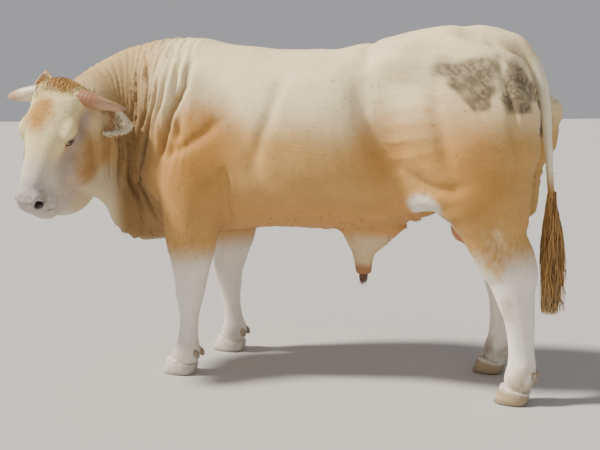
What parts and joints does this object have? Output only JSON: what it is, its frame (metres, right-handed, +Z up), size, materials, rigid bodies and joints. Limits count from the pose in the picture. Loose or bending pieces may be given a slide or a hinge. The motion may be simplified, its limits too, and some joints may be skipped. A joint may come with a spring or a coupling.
{
  "type": "blonde d'aquitaine bull, still life-size museum model",
  "caption": "Life-size still model of a standing blond beef bull, head turned to its left, short horns, cupped ears, deep neck, heavy round thighs and a golden tail switch.",
  "frame": {"origin": "middle of the model's box, on the floor that the soles stand on", "axes": "+Z up; the bull faces -X, and its left side is on -Y, where its head is turned to"},
  "size_m": [2.483, 0.968, 1.5028],
  "materials": {
    "blond_coat": "short, flat blond hair, golden on the shoulder, belly and thighs and near white on the back",
    "cream_coat": "short cream hair",
    "white_coat": "short white hair of the lower legs",
    "switch": "long golden tail hair in wavy locks",
    "skin": "thin-haired pink to orange skin",
    "horn": "pale horn, pink-tan at the root and greyer at the tip",
    "hoof": "hoof horn, amber-brown with growth rings and soil",
    "eye": "wet dark brown eye"
  },
  "bodies": {
    "root": {"ear_left": "cream_coat", "ear_right": "cream_coat", "eye_left": "eye", "eye_right": "eye", "fore_left_cannon": "white_coat", "fore_left_claw_a": "hoof", "fore_left_claw_b": "hoof", "fore_left_forearm": "blond_coat", "fore_right_cannon": "white_coat", "fore_right_claw_a": "hoof", "fore_right_claw_b": "hoof", "fore_right_forearm": "blond_coat", "head": "cream_coat", "hind_left_cannon": "white_coat", "hind_left_claw_a": "hoof", "hind_left_claw_b": "hoof", "hind_left_thigh": "blond_coat", "hind_right_cannon": "white_coat", "hind_right_claw_a": "hoof", "hind_right_claw_b": "hoof", "hind_right_thigh": "blond_coat", "horn_left": "horn", "horn_right": "horn", "neck": "blond_coat", "scrotum": "skin", "sheath": "blond_coat", "tail": "cream_coat", "tail_switch": "switch", "torso": "blond_coat"}
  },
  "joints": []
}
